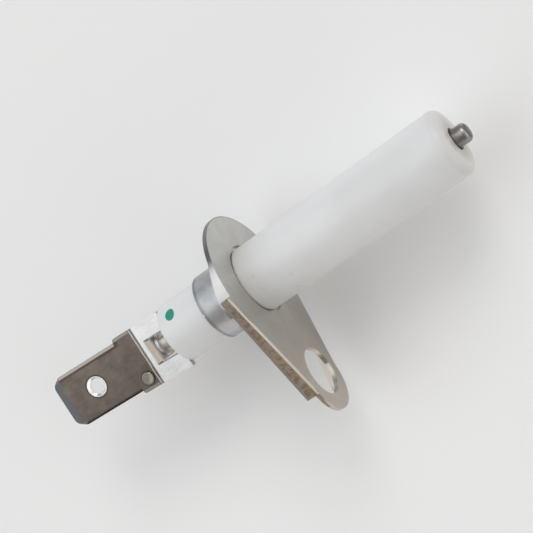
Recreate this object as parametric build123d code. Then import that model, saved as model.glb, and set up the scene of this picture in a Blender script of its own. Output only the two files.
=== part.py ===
from build123d import *
from math import acos, asin, cos, degrees, radians, sin, tan
import os

# Ignition electrode for a boiler's burner: a stepped ceramic insulator on a small teardrop
# flange, a spark rod through its bore and a push-on blade terminal riveted to the rod's end.
# Frame: the origin is on the rod's axis at the flange's front face, which meets the burner.
# +X runs along the rod towards the spark, the flange's tail points along -Y, and +Z is up.
# All sizes are in millimetres, and angles in degrees.

# Insulator
nose_diameter = 7.6
barrel_diameter = 7.0
nose_reach = 26.2
barrel_reach = 11.4
nose_edge_radius = 0.9
shoulder_edge_radius = 0.25
barrel_edge_radius = 0.2
bore_diameter = 2.6

# Spark rod
rod_diameter = 2.1
rod_stickout = 1.6
rod_end_radius = 0.55
stop_ring_diameter = 2.8
stop_ring_thickness = 0.4
stop_ring_edge_radius = 0.1
tenon_diameter = 1.1
rivet_diameter = 1.45
rivet_height = 0.35
rivet_edge_radius = 0.15

# Cement in the two mouths of the bore
front_cement_recess = 0.5
rear_cement_recess = 0.2
cement_depth = 4.0

# Flange, of sheet steel
sheet = 0.5
lobe_radius = 7.85
lip_reach = 8.1
tail_end_radius = 4.0
tail_end_offset = 12.8
screw_offset = 12.0
screw_hole_diameter = 5.6
seat_diameter = 8.3
seat_depth = 0.25
flange_bore_diameter = 7.2
lip_depth_at_lobe = 1.1
lip_depth_at_tail = 1.6
lip_bend_radius = 0.45
lip_edge_radius = 0.15
upper_lip_end = 11.5
lower_lip_turn = 55.0
plain_edge_set_back = 0.12
ear_reach = 4.2
ear_depth = 1.55
ear_overrun = 1.8

# Split spring collar behind the flange
collar_reach = 5.75
collar_wall = 0.32
collar_clearance = 0.02
flare_radius = 1.7
seam_gap = 0.08
seam_notch = 0.3

# Blade terminal, the common 6.3 x 0.8 push-on size
tab_sheet = 0.8
tab_width = 6.3
tab_top = 1.6
shoulder_width = 7.1
tab_end_reach = 27.6
shoulder_reach = 18.2
shoulder_corner_radius = 0.35
crease_reach = 15.35
crease_run = 0.4
crease_drop = 0.2
tab_rise = 4.0
tab_skew = 3.0
skew_centre = 16.5
tip_chamfer_length = 1.2
tip_chamfer_width = 0.8
tip_corner_radius = 0.8
tip_bevel_length = 0.9
tip_bevel_depth = 0.25
side_bevel_depth = 0.13
side_bevel_width = 0.35
detent_hole_diameter = 1.75
detent_hole_reach = 22.8
detent_countersink = 0.25
window_width = 3.0
window_reach = 14.8
window_corner_radius = 0.4
tongue_width = 2.85
tongue_drop = 1.9
tongue_bend_radius = 0.9
tongue_overlap = 0.4
tongue_corner_radius = 0.8
dimple_diameter = 1.5
dimple_height = 0.22
dimple_edge_radius = 0.12
dimple_reach = 16.85
dimple_side = 2.2

# Derived
nose_radius = nose_diameter / 2
barrel_radius = barrel_diameter / 2
bore_radius = bore_diameter / 2
rod_radius = rod_diameter / 2
tenon_radius = tenon_diameter / 2
tongue_front_x = tongue_bend_radius - window_reach
tongue_rear_x = tongue_front_x - tab_sheet
tongue_shift = (window_reach - tongue_bend_radius / 2 - skew_centre) * sin(radians(tab_skew))
tail_angle = degrees(asin((lip_reach - tail_end_radius) / tail_end_offset))
crease_foot = crease_reach + crease_run
rise_slope = tan(radians(tab_rise))
straight_end = tail_end_offset * cos(radians(tail_angle))

# Far enough to pass right through any piece in a cut
through = 40


def bar(radius, x_from, x_to):
    """A solid round bar on the X axis."""
    length = x_to - x_from
    return Pos(x_from + length / 2, 0, 0) * Rot(0, 90, 0) * Cylinder(radius, length)


def ring(outer_radius, inner_radius, x_from, x_to):
    """A round tube on the X axis."""
    return bar(outer_radius, x_from, x_to) - bar(inner_radius, x_from, x_to)


def rims(shape, x, radius):
    """The circular edges of a shape at one place on the X axis."""
    edges = shape.edges().filter_by(GeomType.CIRCLE)
    return [e for e in edges if abs(e.arc_center.X - x) < 0.01 and abs(e.radius - radius) < 0.01]


def both_sides(shape):
    """A shape together with its mirror image across the XY plane."""
    return shape + mirror(shape, Plane.XY)


def insulator():
    body = bar(nose_radius, -seat_depth, nose_reach) + bar(barrel_radius, -barrel_reach, -seat_depth)
    body -= bar(bore_radius, -barrel_reach, nose_reach)
    body = fillet(rims(body, nose_reach, nose_radius), nose_edge_radius)
    body = fillet(rims(body, -seat_depth, nose_radius), shoulder_edge_radius)
    return fillet(rims(body, -barrel_reach, barrel_radius), barrel_edge_radius)


def spark_rod():
    """The rod, with a stop ring against the tongue and a thin tenon riveted behind it."""
    tip_x = nose_reach + rod_stickout
    ring_x = tongue_front_x + stop_ring_thickness
    rivet_x = tongue_rear_x - rivet_height
    ring_radius = stop_ring_diameter / 2
    rivet_radius = rivet_diameter / 2
    stop_ring = bar(ring_radius, tongue_front_x, ring_x)
    stop_ring = fillet(stop_ring.edges().filter_by(GeomType.CIRCLE), stop_ring_edge_radius)
    body = bar(rod_radius, ring_x - stop_ring_thickness / 2, tip_x) + stop_ring
    body += bar(tenon_radius, tongue_rear_x, tongue_front_x) + bar(rivet_radius, rivet_x, tongue_rear_x)
    body = fillet(rims(body, tip_x, rod_radius), rod_end_radius)
    return fillet(rims(body, rivet_x, rivet_radius), rivet_edge_radius)


def front_cement():
    mouth = nose_reach - front_cement_recess
    return ring(bore_radius, rod_radius, mouth - cement_depth, mouth)


def rear_cement():
    mouth = rear_cement_recess - barrel_reach
    return ring(bore_radius, rod_radius, mouth, mouth + cement_depth)


def tail_half(reach, along_from, along_to):
    """Half of a stretch of the tail's outline, whose edge lies at one distance from the axis."""
    corners = [(0, 0), (tail_end_offset, 0), (along_to, reach), (along_from, reach)]
    turned = [Vector(x, y).rotate(Axis.Z, -tail_angle) for x, y in corners[2:]]
    return Polygon(*corners[:2], *[(v.X, v.Y) for v in turned], align=None)


def flange_plate():
    """The flat sheet, drawn with the tail along the sketch's X and extruded backwards."""
    lip_start = -lip_reach * tan(radians(tail_angle))
    plain_reach = lip_reach - plain_edge_set_back
    upper = tail_half(lip_reach - sheet, lip_start, upper_lip_end)
    upper += tail_half(plain_reach, upper_lip_end, straight_end)
    lower = mirror(tail_half(lip_reach - sheet, lip_start, straight_end), Plane.XZ)
    outline = Circle(lobe_radius) + upper + lower
    outline += Pos(tail_end_offset, 0) * Circle(tail_end_radius - plain_edge_set_back)
    front = Plane(origin=(0, 0, 0), x_dir=(0, -1, 0), z_dir=(-1, 0, 0))
    return extrude(front * outline, sheet, dir=(-1, 0, 0))


def tail_lip(end):
    """A turned-back lip on the tail's upper edge, deeper towards the tail's end."""
    start = lip_reach * tan(radians(tail_angle))
    side = Polygon(
        (0, start),
        (0, -end),
        (-lip_depth_at_tail, -end),
        (-lip_depth_at_lobe, start),
        align=None,
    )
    wall = Pos(0, 0, lip_reach - sheet) * extrude(side, sheet, dir=(0, 0, 1))
    top_edges = wall.edges().filter_by(lambda e: abs(e.center().Z - lip_reach) < 0.01)
    wall = fillet(top_edges.sort_by(Axis.X)[-1], lip_bend_radius)
    top_edges = wall.edges().filter_by(lambda e: abs(e.center().Z - lip_reach) < 0.01)
    wall = fillet(top_edges.sort_by(Axis.X)[0], lip_edge_radius)
    return Rot(tail_angle, 0, 0) * wall


def lip_turn():
    """The lower lip's short run round the corner, on to the tail's rounded end."""
    wall = ring(tail_end_radius, tail_end_radius - sheet, -lip_depth_at_tail, 0)
    bend = rims(wall, 0, tail_end_radius)
    wall = fillet(bend, lip_bend_radius)
    reach = 2 * tail_end_radius
    start = radians(90 - tail_angle)
    end = radians(lower_lip_turn)
    corners = [(-reach * cos(a), -reach * sin(a)) for a in (start, end)]
    sector = Plane.YZ * Polygon((0, 0), *corners, align=None)
    wall = wall & extrude(sector, reach, both=True)
    return Pos(0, -tail_end_offset, 0) * wall


def lobe_ear():
    """The lip's run-out on the lobe's rim, which grows from nothing to meet the tail's lip."""
    wall = ring(lobe_radius, lobe_radius - sheet, -ear_depth, 0)
    side = Polygon(
        (0, -ear_overrun),
        (-ear_depth, -ear_overrun),
        (-ear_depth, 0),
        (-sheet, ear_reach),
        (0, ear_reach),
        align=None,
    )
    return wall & extrude(side, lobe_radius, dir=(0, 0, 1))


def mounting_flange():
    body = flange_plate() + both_sides(lobe_ear()) + tail_lip(upper_lip_end)
    body += mirror(tail_lip(straight_end), Plane.XY)
    body += lip_turn()
    body -= bar(seat_diameter / 2, -seat_depth, 0)
    body -= bar(flange_bore_diameter / 2, -sheet, 0)
    return body - Pos(0, -screw_offset, 0) * bar(screw_hole_diameter / 2, -sheet, 0)


def retaining_collar():
    """A sleeve that grips the barrel, flares out to bear on the flange, and is split below."""
    inner = barrel_radius + collar_clearance
    outer = inner + collar_wall
    centre = (-sheet - flare_radius, outer + flare_radius)
    inner_flare = flare_radius + collar_wall
    sweep = 90 - degrees(acos(flare_radius / inner_flare))
    outside = CenterArc(centre, flare_radius, -90, 90)
    inside = CenterArc(centre, inner_flare, -90, sweep)
    profile = [
        outside,
        inside,
        Line(outside @ 1, inside @ 1),
        Line(outside @ 0, (-collar_reach, outer)),
        Line((-collar_reach, outer), (-collar_reach, inner)),
        Line((-collar_reach, inner), inside @ 0),
    ]
    body = revolve(make_face(profile), Axis.X)
    body -= Pos(-through / 2, 0, -through / 2) * Box(through, seam_gap, through)
    notch = Rot(0, 0, 45) * Box(seam_notch, seam_notch, through)
    return body - Pos(-collar_reach, 0, through / 2) * notch


def tab_height(reach):
    """Height of the blade's top face at one distance behind the flange."""
    return tab_top - crease_drop + (reach - crease_foot) * rise_slope


def tab_side_profile():
    """The terminal seen from the side: flat arms, a small joggle and the rising blade."""
    end_top = tab_height(tab_end_reach)
    bevel_top = tab_height(tab_end_reach - tip_bevel_length)
    top = [
        (0, tab_top),
        (-crease_reach, tab_top),
        (-crease_foot, tab_height(crease_foot)),
        (tip_bevel_length - tab_end_reach, bevel_top),
        (-tab_end_reach, end_top - tip_bevel_depth),
    ]
    bottom = [(x, z - tab_sheet) for x, z in top[:-1]]
    tip_bottom = (-tab_end_reach, end_top - tab_sheet + tip_bevel_depth)
    return Plane.XZ * Polygon(*top, tip_bottom, *reversed(bottom), align=None)


def tab_plan():
    """The terminal seen from above, with its shoulders and chamfered tip."""
    wide = shoulder_width / 2
    narrow = tab_width / 2
    half = Polygon(
        (0, 0),
        (0, wide),
        (-shoulder_reach, wide),
        (-shoulder_reach, narrow),
        (tip_chamfer_length - tab_end_reach, narrow),
        (-tab_end_reach, narrow - tip_chamfer_width),
        (-tab_end_reach, 0),
        align=None,
    )
    corner = half.vertices().sort_by_distance((-shoulder_reach, wide))[0]
    half = fillet(corner, shoulder_corner_radius)
    tip_corners = [
        (tip_chamfer_length - tab_end_reach, narrow),
        (-tab_end_reach, narrow - tip_chamfer_width),
    ]
    for place in tip_corners:
        half = fillet(half.vertices().sort_by_distance(place)[0], tip_corner_radius)
    return half + mirror(half, Plane.XZ)


def tongue():
    """The tongue bent down at the window's rear edge, which the rod's tenon is riveted through."""
    half_width = tongue_width / 2
    side = Polygon(
        (tongue_front_x, -tongue_drop),
        (tongue_front_x, tab_top),
        (-window_reach - tongue_overlap, tab_top),
        (-window_reach - tongue_overlap, tab_top - tab_sheet),
        (tongue_rear_x, tab_top - tab_sheet),
        (tongue_rear_x, -tongue_drop),
        align=None,
    )
    outer = side.vertices().sort_by_distance((tongue_front_x, tab_top))[0]
    side = fillet(outer, tongue_bend_radius)
    inner = side.vertices().sort_by_distance((tongue_rear_x, tab_top - tab_sheet))[0]
    side = fillet(inner, tongue_bend_radius - tab_sheet)
    face = Pos(0, (tab_top - tongue_drop) / 2) * Rectangle(tongue_width, tab_top + tongue_drop)
    face = fillet(face.vertices().sort_by(Axis.Y)[:2], tongue_corner_radius)
    body = extrude(Plane.XZ * side, half_width, both=True)
    body = body & extrude(Plane.YZ * face, through, both=True)
    return Pos(0, tongue_shift, 0) * body


def window():
    """The opening between the two arms, which runs forward to the ceramic."""
    length = window_reach
    rear_corners = Rectangle(length, window_width).vertices().sort_by(Axis.X)[:2]
    opening = fillet(rear_corners, window_corner_radius)
    return Pos(-length / 2, 0, 0) * extrude(opening, through, both=True)


def on_blade(reach, side, shape):
    """Puts a shape on the blade's top face, square to it."""
    return Pos(-reach, side, tab_height(reach)) * Rot(0, tab_rise, 0) * shape


def dimple():
    """A half-pierced stop that stands proud of the shoulder."""
    radius = dimple_diameter / 2
    height = 2 * dimple_height
    boss = Cylinder(radius, height)
    return fillet(boss.edges().sort_by(Axis.Z)[-1], dimple_edge_radius)


def strap():
    """The terminal's flat length: arms, joggle and blade, with its edges bevelled."""
    body = extrude(tab_side_profile(), shoulder_width, both=True) & extrude(tab_plan(), through, both=True)
    for side in (-1, 1):
        faces = body.faces().filter_by(Axis.Y)
        flank = faces.sort_by_distance((-detent_hole_reach, side * tab_width / 2, tab_top))[0]
        long_edges = flank.edges().sort_by(SortBy.LENGTH)[-2:]
        body = chamfer(long_edges, side_bevel_depth, side_bevel_width, reference=flank)
    body -= on_blade(detent_hole_reach, 0, Cylinder(detent_hole_diameter / 2, 4 * tab_sheet))
    hole_rims = [
        e
        for e in body.edges().filter_by(GeomType.CIRCLE)
        if abs(e.radius - detent_hole_diameter / 2) < 0.01
    ]
    body = chamfer(hole_rims, detent_countersink)
    body += on_blade(dimple_reach, -dimple_side, dimple())
    recess = Pos(0, 0, -tab_sheet) * Cylinder(dimple_diameter / 2, 2 * dimple_height)
    return body - on_blade(dimple_reach, -dimple_side, recess)


def blade_terminal():
    """The strap, riveted on slightly askew and trimmed square where it meets the ceramic."""
    skew = Pos(-skew_centre, 0, 0) * Rot(0, 0, -tab_skew) * Pos(skew_centre, 0, 0)
    behind = Pos(-barrel_reach - through / 2, 0, 0) * Box(through, through, through)
    body = (skew * strap()) & behind
    body = body - skew * window() + tongue()
    return body - bar(tenon_radius, tongue_rear_x, tongue_front_x)


nodes = {
    "ceramic_insulator": insulator(),
    "spark_rod": spark_rod(),
    "mounting_flange": mounting_flange(),
    "retaining_collar": retaining_collar(),
    "blade_terminal": blade_terminal(),
    "front_cement": front_cement(),
    "rear_cement": rear_cement(),
}

os.makedirs("parts", exist_ok=True)
for name, solid in nodes.items():
    export_step(solid, f"parts/{name}.step")
    print(name, round(solid.volume, 2), "mm3")
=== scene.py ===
from math import cos, radians, sin

import bmesh
import bpy
from mathutils import Matrix, Vector


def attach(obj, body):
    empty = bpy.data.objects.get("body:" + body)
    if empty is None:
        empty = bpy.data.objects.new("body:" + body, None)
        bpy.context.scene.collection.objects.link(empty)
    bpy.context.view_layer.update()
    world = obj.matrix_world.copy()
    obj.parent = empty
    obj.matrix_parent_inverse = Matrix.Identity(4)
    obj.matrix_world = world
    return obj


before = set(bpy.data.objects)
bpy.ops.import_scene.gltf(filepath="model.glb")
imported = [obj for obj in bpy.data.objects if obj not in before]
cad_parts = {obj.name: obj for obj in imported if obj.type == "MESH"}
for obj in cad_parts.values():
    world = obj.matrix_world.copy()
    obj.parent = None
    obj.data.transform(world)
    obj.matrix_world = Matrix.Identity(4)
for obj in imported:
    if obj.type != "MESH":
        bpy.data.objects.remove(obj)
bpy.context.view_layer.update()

# ---- Camera -------------------------------------------------------------------------------
# The camera looks steeply down on the part, from a little in front of the flange's face.
# It is a long lens at about 140 mm, so the far end of the ceramic tapers slightly.
MM = 0.001
focal_length = 87.8
sensor_width = 36.0
camera_place = Vector((56.3, 2.3, 126.3)) * MM
camera_right = Vector((0.752, -0.579, -0.316)).normalized()
camera_back = Vector((0.396, 0.014, 0.918))

scene = bpy.context.scene
lens = bpy.data.cameras.new("camera")
lens.sensor_width = sensor_width
lens.lens = focal_length
lens.clip_start = 10 * MM
camera = bpy.data.objects.new("camera", lens)
scene.collection.objects.link(camera)
camera_back = (camera_back - camera_back.dot(camera_right) * camera_right).normalized()
camera_up = camera_back.cross(camera_right)
camera_turn = Matrix((camera_right, camera_up, camera_back)).transposed()
camera.matrix_world = Matrix.Translation(camera_place) @ camera_turn.to_4x4()
scene.camera = camera
scene.view_settings.view_transform = "Standard"
scene.view_settings.look = "None"


# ---- Studio -------------------------------------------------------------------------------
# A plain pale floor under the part, lit by one wide soft lamp. The room is pale overhead,
# with a bright softbox high at the back left and a dark, brown stand round the camera.
class Value:
    """A shader socket that arithmetic can be written on."""

    def __init__(self, shader, socket):
        self.shader = shader
        self.socket = socket

    def math(self, operation, *others):
        return self.shader.math(operation, self, *others)

    def __add__(self, other):
        return self.math("ADD", other)

    def __sub__(self, other):
        return self.math("SUBTRACT", other)

    def __mul__(self, other):
        return self.math("MULTIPLY", other)

    def __truediv__(self, other):
        return self.math("DIVIDE", other)

    def __rsub__(self, other):
        return self.shader.math("SUBTRACT", other, self)

    def __rtruediv__(self, other):
        return self.shader.math("DIVIDE", other, self)

    def __abs__(self):
        return self.math("ABSOLUTE")

    __radd__ = __add__
    __rmul__ = __mul__

    def clamped(self):
        return self.shader.node("ShaderNodeClamp", {}, [self])

    def ramp(self, low, high):
        """0 below low, 1 above high, and smooth between them."""
        settings = {"interpolation_type": "SMOOTHSTEP"}
        return self.shader.node("ShaderNodeMapRange", settings, [self, low, high, 0.0, 1.0])

    def above(self, place, blur):
        """0 up to a place, rising to 1 over the blur past it."""
        return self.ramp(place, place + blur)

    def below(self, place, blur):
        """0 down to a place, rising to 1 over the blur before it."""
        return (place - self).ramp(0.0, blur)


class Shader:
    """A node tree, built from values and one call that adds any node."""

    def __init__(self, tree):
        self.tree = tree
        tree.nodes.clear()

    def node(self, kind, settings=None, inputs=(), output=0):
        made = self.tree.nodes.new(kind)
        for name, value in (settings or {}).items():
            setattr(made, name, value)
        pairs = inputs.items() if isinstance(inputs, dict) else enumerate(inputs)
        for key, value in pairs:
            if isinstance(value, Value):
                self.tree.links.new(value.socket, made.inputs[key])
            else:
                made.inputs[key].default_value = value
        if not made.outputs:
            return made
        return Value(self, made.outputs[output])

    def math(self, operation, *values):
        return self.node("ShaderNodeMath", {"operation": operation}, values)

    def place(self, scale=(1, 1, 1), move=(0, 0, 0)):
        """The object's own coordinates in millimetres, stretched by scale."""
        here = self.node("ShaderNodeTexCoord", output="Object")
        stretch = [s / MM for s in scale]
        return self.node("ShaderNodeMapping", {}, {"Vector": here, "Location": move, "Scale": stretch})

    def parts(self):
        """The object's coordinates in millimetres, as three values."""
        split = self.node("ShaderNodeSeparateXYZ", {}, [self.place()])
        return [Value(self, out) for out in split.socket.node.outputs]

    def noise(self, size, detail=3.0, stretch=(1, 1, 1), move=(0, 0, 0)):
        """Noise from 0 to 1 whose blotches are about size millimetres across."""
        where = self.place([s / size for s in stretch], move)
        inputs = {"Vector": where, "Scale": 1.0, "Detail": detail, "Roughness": 0.55}
        return self.node("ShaderNodeTexNoise", {}, inputs)

    def blend(self, amount, first, second):
        """first where amount is 0 and second where it is 1, for colours."""
        inputs = {"Factor": amount, 6: first, 7: second}
        return self.node("ShaderNodeMix", {"data_type": "RGBA"}, inputs, output=2)

    def bump(self, height, strength, distance):
        inputs = {"Strength": strength, "Distance": distance * MM, "Height": height}
        return self.node("ShaderNodeBump", {}, inputs)

    def finish(self, **inputs):
        """A Principled surface with these sockets."""
        names = {key.replace("_", " "): value for key, value in inputs.items()}
        surface = self.node("ShaderNodeBsdfPrincipled", {}, names)
        self.node("ShaderNodeOutputMaterial", {}, {"Surface": surface})


def new_material(name):
    material = bpy.data.materials.new(name)
    material.use_nodes = True
    return material, Shader(material.node_tree)


def distance(first, second):
    """How far a point is from the origin of two measures."""
    return (first * first + second * second).math("SQRT")


floor_level = -8.56 * MM
floor_half = 1.2
paper_grey = (0.87, 0.87, 0.87, 1)
floor_form = bmesh.new()
bmesh.ops.create_grid(floor_form, x_segments=1, y_segments=1, size=floor_half)
bmesh.ops.translate(floor_form, vec=(0, 0, floor_level), verts=floor_form.verts)
floor_mesh = bpy.data.meshes.new("floor")
floor_form.to_mesh(floor_mesh)
floor_form.free()
floor = bpy.data.objects.new("floor", floor_mesh)
scene.collection.objects.link(floor)
paper, shader = new_material("studio_paper")
shader.finish(Base_Color=paper_grey, Roughness=0.9, Specular_IOR_Level=0.1)
floor_mesh.materials.append(paper)

room_pale = (0.96, 0.95, 0.94, 1)
low_shade = (0.27, 0.33, 0.39, 1)
low_glow = (1.20, 1.17, 1.13, 1)
stand_brown = (0.20, 0.175, 0.155, 1)
softbox_white = (1.45, 1.50, 1.55, 1)
glow_side = (0.3, -0.95, 0.0)
overhead = (0.0, 0.0, 1.0)
stand_side = (-0.10, -0.45, 0.89)
softbox_side = (-0.50, 0.35, 0.79)
world = bpy.data.worlds.new("studio_room")
world.use_nodes = True
scene.world = world
shader = Shader(world.node_tree)
way = shader.node("ShaderNodeTexCoord", output="Generated")


def towards(side):
    """The cosine of the angle between a direction in the room and this side of it."""
    inputs = {0: way, 1: Vector(side).normalized()}
    return shader.node("ShaderNodeVectorMath", {"operation": "DOT_PRODUCT"}, inputs, output="Value")


def patch(side, angle, blur):
    """1 within an angle, in degrees, of one side of the room, and 0 beyond its soft edge."""
    return towards(side).ramp(cos(radians(angle + blur)), cos(radians(angle - blur)))


room_low = shader.blend(towards(glow_side).ramp(-0.3, 0.4), low_shade, low_glow)
room = shader.blend(towards(overhead).ramp(0.2, 0.6), room_low, room_pale)
room = shader.blend(patch(stand_side, angle=36, blur=5), room, stand_brown)
room = shader.blend(patch(softbox_side, angle=25, blur=1.5), room, softbox_white)
background = shader.node("ShaderNodeBackground", {}, {"Color": room, "Strength": 1.0})
shader.node("ShaderNodeOutputWorld", {}, {"Surface": background})

lamp_side = Vector((0.42, 0.70, 0.58))
lamp = bpy.data.lights.new("wide_lamp", "SUN")
lamp.energy = 0.78
lamp.angle = radians(26)
lamp.color = (1.0, 0.99, 0.97)
wide_lamp = bpy.data.objects.new("wide_lamp", lamp)
wide_lamp.rotation_euler = lamp_side.to_track_quat("Z", "Y").to_euler()
scene.collection.objects.link(wide_lamp)


# ---- Ceramic insulator --------------------------------------------------------------------
# One stepped tube of fired white alumina, pressed and sintered, with a rounded front end.
# Its thin shoulder drops into the flange's seat, and its rear end carries the terminal.
def dress(node, material):
    """Gives a CAD node its finish."""
    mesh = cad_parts[node].data
    mesh.materials.clear()
    mesh.materials.append(material)


clean_white = (0.715, 0.725, 0.73, 1)
cloudy_white = (0.67, 0.675, 0.67, 1)
finger_brown = (0.42, 0.38, 0.33, 1)
mouth_stain_and_end_shade = (0.50, 0.46, 0.41, 1)
flange_corner_shade = (0.50, 0.46, 0.42, 1)
handled_place = 2.0
handled_reach = 9.0
front_face = 25.1
front_edge = 24.9
mouth_stain_radius = 3.1
flange_shade_reach = 3.5
flange_face = -0.5
alumina, shader = new_material("fired_alumina")
along, across, up = shader.parts()
from_axis = distance(across, up)
grain = shader.noise(0.22)
cloud = shader.noise(5.0, detail=2.0, stretch=(0.6, 1, 1))
smudge = shader.noise(0.9, detail=4.0, move=(7, 3, 1)).ramp(0.62, 0.80) * 0.5
handled = smudge * (1.0 - abs(along - handled_place) / handled_reach).clamped()
white = shader.blend(cloud.ramp(0.3, 0.75), clean_white, cloudy_white)
white = shader.blend(handled, white, finger_brown)
mouth = from_axis.below(mouth_stain_radius, 1.8) * along.above(front_face, 0.8)
# Painted shade: the rounded front end and its end face are painted darker, in the same brown as the
# real stain round the bore.
rounded_end_shade = along.above(front_edge, 1.0)
white = shader.blend(mouth * 0.6 + rounded_end_shade * 0.3, white, mouth_stain_and_end_shade)
# Painted shade: the barrel is painted darker close to the flange, in the corner between the two parts.
near_flange_shade = along.below(flange_shade_reach, 3.5) * along.above(flange_face, 0.7)
white = shader.blend(near_flange_shade * 0.35, white, flange_corner_shade)
shader.finish(
    Base_Color=white,
    Roughness=0.34 + 0.14 * grain,
    Coat_Weight=0.12 + 0.10 * cloud,
    Normal=shader.bump(grain, strength=0.10, distance=0.02),
)
dress("ceramic_insulator", alumina)


# ---- Spark rod ----------------------------------------------------------------------------
# One length of drawn heat-resistant wire through the ceramic's bore, its spark end rounded.
# Behind the ceramic it has an upset stop ring, and a thin tenon riveted behind the tongue.
pale_oxide = (0.38, 0.365, 0.355, 1)
dark_oxide = (0.21, 0.20, 0.195, 1)
end_oxide = (0.15, 0.14, 0.135, 1)
pale_warm = (0.74, 0.70, 0.65, 1)
dull_warm = (0.62, 0.58, 0.53, 1)
pale_rim_reflection = (0.66, 0.68, 0.72, 1)
dull_rim_reflection = (0.56, 0.57, 0.60, 1)
ceramic_rear = -11.0
spark_end = 27.60
ring_rim_radius = 1.22
wire, shader = new_material("oxidised_wire")
along, across, up = shader.parts()
drawn = shader.noise(0.5, detail=4.0, stretch=(0.25, 1, 1))
pits = shader.noise(0.16)
rear = along.below(ceramic_rear, 0.3)
# Painted reflection: the stop ring's rounded rim is painted a cool pale blue-grey, for the band of
# light it reflects.
ring_rim_reflection = distance(across, up).above(ring_rim_radius, 0.10)
oxide = shader.blend(drawn.ramp(0.35, 0.7), pale_oxide, dark_oxide)
oxide = shader.blend(along.above(spark_end, 0.14), oxide, end_oxide)
warm = shader.blend(drawn.ramp(0.3, 0.6), pale_warm, dull_warm)
bright = shader.blend(drawn.ramp(0.3, 0.6), pale_rim_reflection, dull_rim_reflection)
shader.finish(
    Base_Color=shader.blend(rear, oxide, shader.blend(ring_rim_reflection, warm, bright)),
    Metallic=1.0,
    Roughness=0.26 + 0.16 * pits + 0.18 * rear,
    Normal=shader.bump(pits, strength=0.35, distance=0.03),
)
dress("spark_rod", wire)


# ---- Sealing cement -----------------------------------------------------------------------
# Rings of grey refractory cement, packed wet into the two mouths of the bore round the rod.
# They dry with a sunken, grainy surface, painted near black as painted shade for the shadowed gap
# round the rod at each end.
gap_shade_dark = (0.11, 0.10, 0.095, 1)
gap_shade_pale = (0.24, 0.22, 0.20, 1)
cement, shader = new_material("cement_painted_shade")
grit = shader.noise(0.18, detail=4.0)
shader.finish(
    Base_Color=shader.blend(grit.ramp(0.3, 0.7), gap_shade_dark, gap_shade_pale),
    Roughness=0.9,
    Normal=shader.bump(grit, strength=0.6, distance=0.05),
)
dress("front_cement", cement)
dress("rear_cement", cement)


# ---- Mounting flange ----------------------------------------------------------------------
# A teardrop of stainless sheet, blanked and pierced in one press, with both edges of its tail
# turned back as stiffening lips. The tail carries the screw and is painted darker as painted
# shade. The lips are heat-stained, with painted highlights on their bend and rear edge.
pale_steel = (0.60, 0.595, 0.57, 1)
dull_steel = (0.54, 0.53, 0.505, 1)
rolled_steel = (0.40, 0.385, 0.36, 1)
tail_painted_shade = (0.54, 0.475, 0.405, 1)
tail_lower_shade = (0.36, 0.32, 0.27, 1)
sheared_grey = (0.16, 0.155, 0.155, 1)
lip_brown = (0.37, 0.275, 0.20, 1)
lip_dark = (0.21, 0.145, 0.10, 1)
lip_front_highlight = (0.31, 0.285, 0.245, 1)
lip_border_highlight = (0.26, 0.25, 0.235, 1)
tail_angle = radians(18.68)
tail_start = 4.0
tail_length = 18.0
lobe_rim_radius = 7.74
lobe_rim_start = 3.3
lip_inside = 7.55
lip_start = 2.6
lip_front_depth = -0.12
lip_band_start = -0.30
lip_border_start = -0.78
lip_taper = 0.030
flange_sheet, shader = new_material("flange_sheet")
along, across, up = shader.parts()
rolled = shader.noise(0.5, detail=4.0, stretch=(1, 0.18, 1))
mottle = shader.noise(2.4)
fine = shader.noise(0.15)
specks = shader.noise(0.55, detail=5.0, move=(4, 2, 9))
tail = across.below(tail_start, tail_length)
steel = shader.blend(mottle.ramp(0.3, 0.75), pale_steel, dull_steel)
steel = shader.blend(rolled.ramp(0.45, 0.8) * 0.3, steel, rolled_steel)
# Painted shade: the tail is painted darker and browner, and its lower side darker still, for the
# shadowed floor it reflects.
steel = shader.blend(tail * 0.7, steel, tail_painted_shade)
steel = shader.blend(up.below(-1.0, 4.0) * tail * 0.5, steel, tail_lower_shade)
sheared = distance(across, up).above(lobe_rim_radius, 0.06) * across.above(lobe_rim_start, 1.2)
steel = shader.blend(sheared * 0.85, steel, sheared_grey)
outwards = abs(up) * cos(tail_angle) - across * sin(tail_angle)
lip = outwards.above(lip_inside, 0.20) * along.below(lip_front_depth, 0.12)
lip = lip * across.below(lip_start, 0.4)
lip_stain_and_highlights = shader.blend(specks.ramp(0.40, 0.62), lip_brown, lip_dark)
# Painted highlights: a pale band where the lip bends and a grey border at its rounded rear edge, over
# the heat stain's mottled brown.
lip_stain_and_highlights = shader.blend(along.above(lip_band_start, 0.14), lip_stain_and_highlights, lip_front_highlight)
border = (along - lip_taper * across).below(lip_border_start, 0.12)
lip_stain_and_highlights = shader.blend(border, lip_stain_and_highlights, lip_border_highlight)
shader.finish(
    Base_Color=shader.blend(lip * 0.9, steel, lip_stain_and_highlights),
    Metallic=1.0 - lip * 0.35,
    Roughness=0.24 + 0.10 * mottle + 0.08 * fine + lip * 0.2,
    Normal=shader.bump(fine + rolled * 0.5 + lip * specks * 2.0, strength=0.22, distance=0.03),
)
dress("mounting_flange", flange_sheet)


# ---- Retaining collar ---------------------------------------------------------------------
# A split sleeve of thin spring steel, pushed along the barrel until its flared mouth bears on
# the flange's back and draws the ceramic's shoulder into its seat. It is a cool, cloudy grey.
pale_collar = (0.51, 0.52, 0.53, 1)
dull_collar = (0.45, 0.45, 0.45, 1)
rim_shade_grey = (0.27, 0.265, 0.275, 1)
collar_rim = -5.25
collar_sheet, shader = new_material("collar_sheet")
along, across, up = shader.parts()
mottle = shader.noise(0.9, detail=4.0)
fine = shader.noise(0.15)
grey = shader.blend(mottle.ramp(0.3, 0.7), pale_collar, dull_collar)
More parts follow.
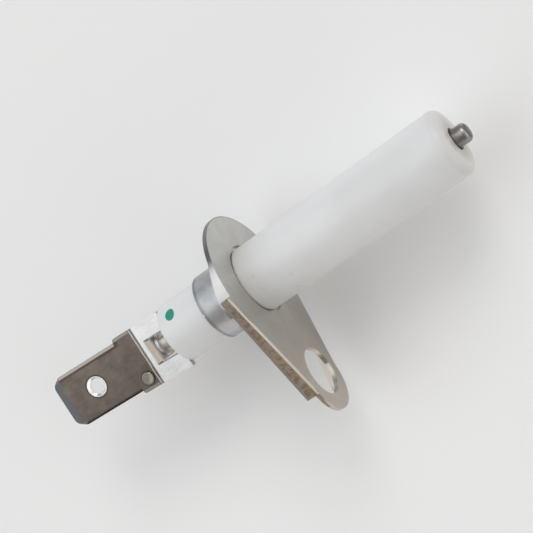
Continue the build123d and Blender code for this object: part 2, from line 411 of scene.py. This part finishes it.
# Painted shade: the sleeve's rear rim is painted darker grey, where it lies in shade.
shader.finish(
    Base_Color=shader.blend(along.below(collar_rim, 0.3) * 0.7, grey, rim_shade_grey),
    Metallic=1.0,
    Roughness=0.42 + 0.12 * mottle,
    Normal=shader.bump(mottle * 0.4 + fine, strength=0.22, distance=0.03),
)
dress("retaining_collar", collar_sheet)


# ---- Blade terminal -----------------------------------------------------------------------
# A push-on blade blanked from tinned sheet, with a tongue bent down to take the rivet. The
# arms are bright; the blade beyond the joggle is tarnished brown, partly as painted shade, with
# painted highlights and shade on its edges and a painted highlight round its hole.
bright_tin = (0.65, 0.64, 0.63, 1)
dull_tin = (0.61, 0.60, 0.585, 1)
bend_warm_reflection = (0.64, 0.565, 0.50, 1)
cut_gap_shade = (0.15, 0.13, 0.13, 1)
joggle_warm = (0.60, 0.54, 0.47, 1)
tarnish_and_shading_brown = (0.172, 0.140, 0.117, 1)
tarnish_and_shading_dark = (0.126, 0.105, 0.091, 1)
streak_brown = (0.27, 0.22, 0.18, 1)
groove_shade_dark = (0.085, 0.055, 0.042, 1)
flank_highlight = (0.30, 0.275, 0.25, 1)
shoulder_highlight = (0.36, 0.325, 0.29, 1)
lower_edge_shade = (0.085, 0.08, 0.08, 1)
tip_bevel_reflection = (0.145, 0.155, 0.165, 1)
hole_shadow = (0.05, 0.045, 0.04, 1)
hole_rim_highlight = (0.90, 0.90, 0.90, 1)
dimple_shadow = (0.07, 0.06, 0.05, 1)
dimple_shaded_side = (0.27, 0.235, 0.205, 1)
dimple_lit_side = (0.46, 0.42, 0.38, 1)
skew = radians(3.0)
skew_centre = 16.5
joggle_start = -15.25
blade_start = -15.80
shoulder_start = -15.9
shoulder_edge = 3.12
flank_start = -18.2
flank_edge = 2.76
lower_edge = -2.90
groove_shade_start = -17.6
groove_shade_edge = 2.60
tip_start = -26.45
bend_start = -14.95
bend_half_width = 1.48
cut_start = -14.9
cut_inside = 1.36
cut_outside = 1.64
hole_x = -22.79
hole_highlight_radius = 1.24
hole_shadow_radius = 1.44
dimple_x = -16.85
dimple_y = -2.2
dimple_radius = 0.78
dimple_shadow_radius = 0.98
terminal_tin, shader = new_material("terminal_tin")
along, across, up = shader.parts()
behind = along + skew_centre
along = behind * cos(skew) - across * sin(skew) - skew_centre
across = behind * sin(skew) + across * cos(skew)
beside = abs(across)
streaks = shader.noise(0.35, detail=4.0, stretch=(0.22, 1, 1))
mottle = shader.noise(1.6, detail=4.0)
fine = shader.noise(0.14)

# The blade's dark brown is partly tarnish and partly painted shade, for the dark room it reflects.
tarnish_and_shading = shader.blend(mottle.ramp(0.35, 0.75), tarnish_and_shading_brown, tarnish_and_shading_dark)
tarnish_and_shading = shader.blend(streaks.ramp(0.5, 0.8) * 0.25, tarnish_and_shading, streak_brown)
# Painted shade: a dark line inside the blade's upper edge, for the shade cast by a step there.
groove_shade = (across + mottle * 0.3).above(groove_shade_edge, 0.14) * along.below(groove_shade_start, 0.3)
tarnish_and_shading = shader.blend(groove_shade * 0.75, tarnish_and_shading, groove_shade_dark)
narrow_part = along.below(flank_start, 0.2)
# Painted highlight: the narrow blade's edge bevels are painted lighter grey.
tarnish_and_shading = shader.blend(beside.above(flank_edge, 0.08) * narrow_part, tarnish_and_shading, flank_highlight)
# Painted highlight: the blade's shoulders are painted lighter grey.
shoulder = beside.above(shoulder_edge, 0.14) * along.below(shoulder_start, 0.2)
tarnish_and_shading = shader.blend(shoulder * 0.8, tarnish_and_shading, shoulder_highlight)
# Painted shade: the narrow blade's lower edge is painted near black.
tarnish_and_shading = shader.blend(across.below(lower_edge, 0.08) * narrow_part * 0.9, tarnish_and_shading, lower_edge_shade)
# Painted reflection: the tip's bevel is painted cool blue-grey.
tip = (along - mottle * 0.5).below(tip_start, 0.9)
tarnish_and_shading = shader.blend(tip, tarnish_and_shading, tip_bevel_reflection)

tin = shader.blend(mottle.ramp(0.3, 0.7), bright_tin, dull_tin)
# Painted reflection: the tongue inside the window is painted warm beige, for the warm shaded light
# seen there.
bend = along.above(bend_start, 0.35) * beside.below(bend_half_width, 0.04)
metal = shader.blend(bend, tin, bend_warm_reflection)
# Painted shade: thin dark lines along the window's sides, for the deep shade in the narrow gaps.
cut = beside.above(cut_inside, 0.06) * beside.below(cut_outside, 0.08)
metal = shader.blend(cut * along.above(cut_start, 0.2) * 0.8, metal, cut_gap_shade)
metal = shader.blend(along.below(joggle_start, 0.12), metal, joggle_warm)
metal = shader.blend(along.below(blade_start, 0.15), metal, tarnish_and_shading)

from_hole = distance(along - hole_x, across)
metal = shader.blend(from_hole.below(hole_shadow_radius, 0.14) * 0.8, metal, hole_shadow)
# Painted highlight: a near-white ring round the hole, for the light caught by its rim.
metal = shader.blend(from_hole.below(hole_highlight_radius, 0.10), metal, hole_rim_highlight)
past_dimple = along - dimple_x
off_dimple = across - dimple_y
from_dimple = distance(past_dimple, off_dimple)
metal = shader.blend(from_dimple.below(dimple_shadow_radius, 0.14) * 0.7, metal, dimple_shadow)
# Painted light: the dimple is painted lighter on one side and darker on the other, as if lit from one
# side.
dimple = shader.blend((past_dimple - off_dimple * 0.6).ramp(-0.1, 0.7), dimple_shaded_side, dimple_lit_side)
metal = shader.blend(from_dimple.below(dimple_radius, 0.12), metal, dimple)
shader.finish(
    Base_Color=metal,
    Metallic=1.0,
    Roughness=0.16 + 0.10 * mottle + 0.05 * fine + 0.30 * bend,
    Normal=shader.bump(fine + streaks, strength=0.16, distance=0.02),
)
dress("blade_terminal", terminal_tin)


# ---- Coding dot ---------------------------------------------------------------------------
# A dab of green enamel on the top of the barrel, which tells this electrode from its sisters.
# It is a thin domed film that follows the ceramic, slightly longer round than along.
dot_half_length = 0.62 * MM
dot_half_width = 0.70 * MM
dot_height = 0.045 * MM
dot_place = -9.56 * MM
dot_turn = radians(-38.97)
barrel_radius = 3.5 * MM
deep_green = (0.010, 0.22, 0.155, 1)
thin_green = (0.02, 0.30, 0.215, 1)
dot_form = bmesh.new()
bmesh.ops.create_uvsphere(dot_form, u_segments=48, v_segments=24, radius=1.0)
bmesh.ops.scale(dot_form, vec=(dot_half_length, dot_half_width, dot_height), verts=dot_form.verts)
for vertex in dot_form.verts:
    angle = vertex.co.y / barrel_radius
    radius = barrel_radius + vertex.co.z
    vertex.co = Vector((vertex.co.x, sin(angle) * radius, cos(angle) * radius))
turn_round_barrel = Matrix.Rotation(dot_turn, 3, "X")
bmesh.ops.rotate(dot_form, cent=(0, 0, 0), matrix=turn_round_barrel, verts=dot_form.verts)
bmesh.ops.translate(dot_form, vec=(dot_place, 0, 0), verts=dot_form.verts)
for face in dot_form.faces:
    face.smooth = True
dot_mesh = bpy.data.meshes.new("coding_dot")
dot_form.to_mesh(dot_mesh)
dot_form.free()
coding_dot = bpy.data.objects.new("coding_dot", dot_mesh)
scene.collection.objects.link(coding_dot)
enamel, shader = new_material("green_enamel")
pool = shader.noise(0.5, detail=2.0)
shader.finish(
    Base_Color=shader.blend(pool, deep_green, thin_green),
    Roughness=0.35 + 0.1 * pool,
    Normal=shader.bump(pool, strength=0.2, distance=0.03),
)
dot_mesh.materials.append(enamel)
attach(coding_dot, "root")
